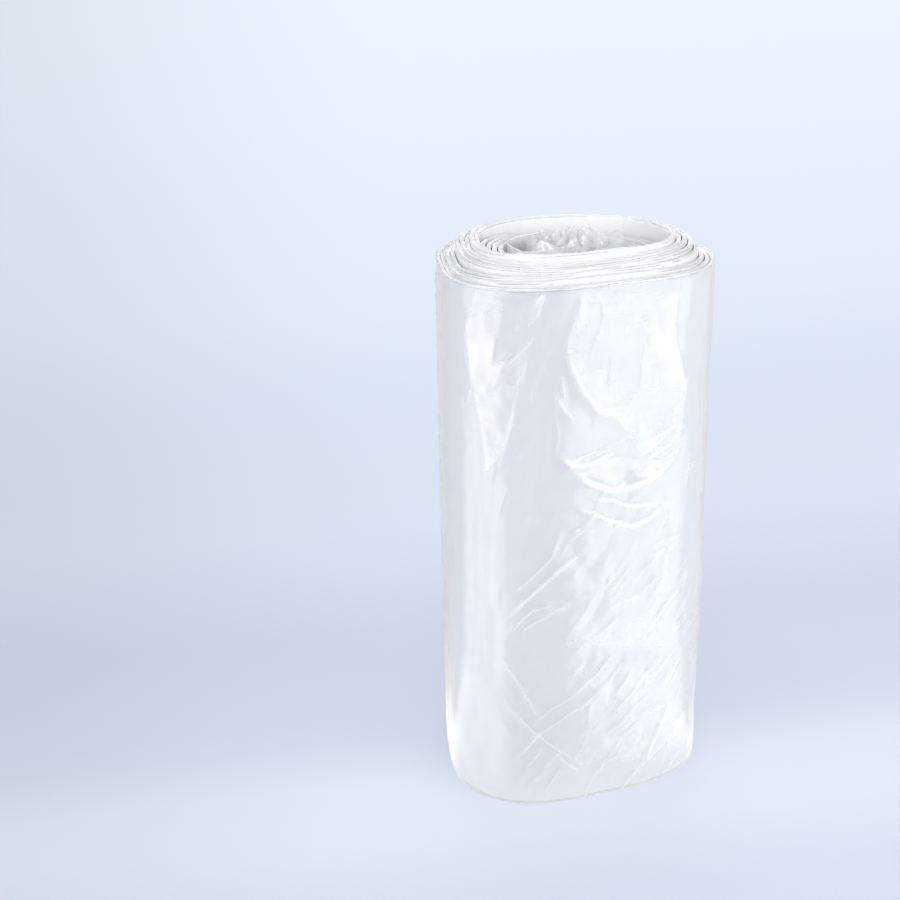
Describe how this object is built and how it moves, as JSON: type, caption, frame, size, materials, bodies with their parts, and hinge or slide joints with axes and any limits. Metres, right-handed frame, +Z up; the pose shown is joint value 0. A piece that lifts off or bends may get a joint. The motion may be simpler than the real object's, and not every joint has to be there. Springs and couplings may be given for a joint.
{
  "type": "roll of ice bucket liners",
  "caption": "Coreless roll of clear film liners on its end: a folded web wound into a soft oval coil, with an inner collar of turns slid up and a crumpled start in the middle.",
  "frame": {"origin": "middle of the footprint, on the surface that the roll stands on", "axes": "+Z up along the roll; +X along the long axis of its oval section; +Y along the short axis"},
  "size_m": [0.0742, 0.0628, 0.162],
  "materials": {
    "clear_film": "thin clear polyethylene film, glossy and creased; milky white where many layers lie together"
  },
  "bodies": {
    "root": {"liner_roll": "clear_film"}
  },
  "joints": []
}
